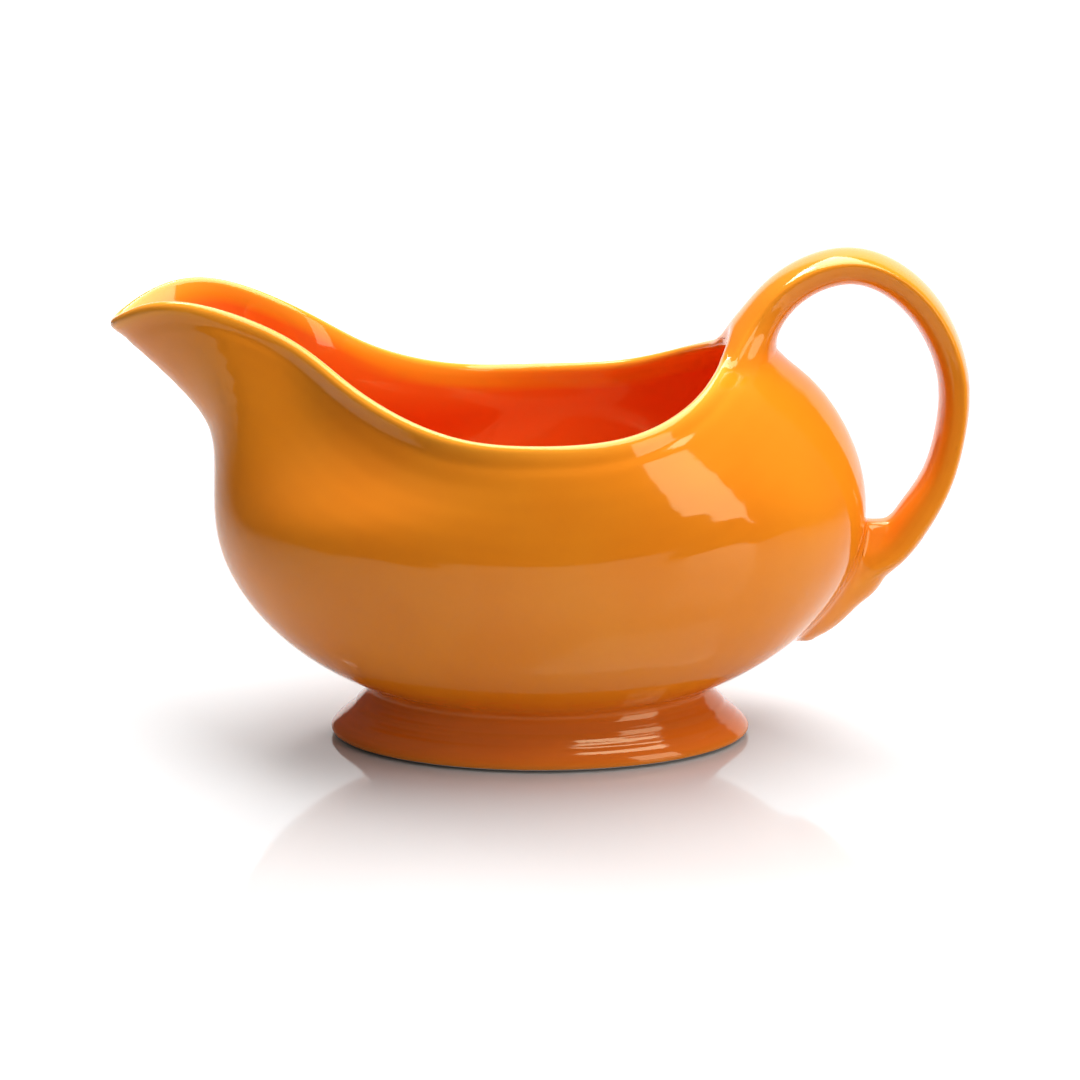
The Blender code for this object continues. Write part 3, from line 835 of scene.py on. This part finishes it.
# Soft boxes: place, size and how bright the face is.
AIM = (0, 0, 0.06)
SOFT_BOXES = {
    "key_right": ((0.63, -0.57, 0.32), (0.34, 0.50), 4.2),
    "top": ((0.14, 0.08, 0.88), (1.5, 0.6), 7.9),
    "strip_left": ((-0.30, 0.42, 0.78), (0.30, 0.14), 16.0),
}

CAMERA_PLACE = (0, -0.6942, 0.2432)
CAMERA_PITCH = 74.6     # degrees from looking straight down
CAMERA_LENS = 92.76
CAMERA_SENSOR = 36


def make_floor():
    """Plain glossy white table top."""
    corners = [(-FLOOR_HALF_WIDTH, FLOOR_FRONT, 0), (FLOOR_HALF_WIDTH, FLOOR_FRONT, 0),
               (FLOOR_HALF_WIDTH, FLOOR_BACK, 0), (-FLOOR_HALF_WIDTH, FLOOR_BACK, 0)]
    data = bpy.data.meshes.new("floor")
    data.from_pydata(corners, [], [(0, 1, 2, 3)])
    floor = bpy.data.objects.new("floor", data)
    bpy.context.scene.collection.objects.link(floor)
    material, _, _, shader = new_material("white_table")
    shader.inputs["Base Color"].default_value = TABLE_WHITE
    shader.inputs["Roughness"].default_value = TABLE_ROUGHNESS
    shader.inputs["IOR"].default_value = GLASSY_IOR
    data.materials.append(material)


def make_area_light(name, place, size, radiance):
    """Rectangular soft box: its power follows from its size and how bright its face is."""
    data = bpy.data.lights.new(name, "AREA")
    data.shape = "RECTANGLE"
    data.size, data.size_y = size
    data.energy = radiance * math.pi * size[0] * size[1]
    lamp = bpy.data.objects.new(name, data)
    lamp.location = place
    lamp.rotation_euler = (Vector(AIM) - Vector(place)).to_track_quat("-Z", "Y").to_euler()
    bpy.context.scene.collection.objects.link(lamp)


def make_world():
    """Dim room with a bright backdrop behind the boat and a soft ceiling; plain white to the camera."""
    world = bpy.data.worlds.new("studio")
    world.use_nodes = True
    bpy.context.scene.world = world
    nodes, links = world.node_tree.nodes, world.node_tree.links
    way = nodes.new("ShaderNodeTexCoord").outputs["Generated"]

    def along(axis, low, high, dim, bright):
        dot = nodes.new("ShaderNodeVectorMath")
        dot.operation = "DOT_PRODUCT"
        links.new(way, dot.inputs[0])
        dot.inputs[1].default_value = axis
        level = nodes.new("ShaderNodeMapRange")
        level.interpolation_type = "SMOOTHSTEP"
        for name, value in zip(("From Min", "From Max", "To Min", "To Max"), (low, high, dim, bright)):
            level.inputs[name].default_value = value
        links.new(dot.outputs["Value"], level.inputs["Value"])
        return level.outputs["Result"]

    def highest(first, second):
        made = nodes.new("ShaderNodeMath")
        made.operation = "MAXIMUM"
        links.new(first, made.inputs[0])
        links.new(second, made.inputs[1])
        return made.outputs["Value"]

    backdrop = along(BACKDROP_WAY, *BACKDROP_EDGE, ROOM_LEVEL, BACKDROP_LEVEL)
    ceiling = along((0, 0, 1), *CEILING_EDGE, ROOM_LEVEL, CEILING_LEVEL)
    seen = nodes.new("ShaderNodeLightPath").outputs["Is Camera Ray"]
    links.new(highest(highest(backdrop, ceiling), seen), nodes["Background"].inputs["Strength"])
    nodes["Background"].inputs["Color"].default_value = (1, 1, 1, 1)


def make_studio():
    make_world()
    for name, (place, size, radiance) in SOFT_BOXES.items():
        make_area_light(name, place, size, radiance)


def make_camera():
    data = bpy.data.cameras.new("camera")
    data.sensor_width = CAMERA_SENSOR
    data.lens = CAMERA_LENS
    camera = bpy.data.objects.new("camera", data)
    camera.location = CAMERA_PLACE
    camera.rotation_euler = (math.radians(CAMERA_PITCH), 0, 0)
    bpy.context.scene.collection.objects.link(camera)
    bpy.context.scene.camera = camera
    bpy.context.scene.view_settings.view_transform = "Standard"


make_camera()
make_boat()
make_floor()
make_studio()
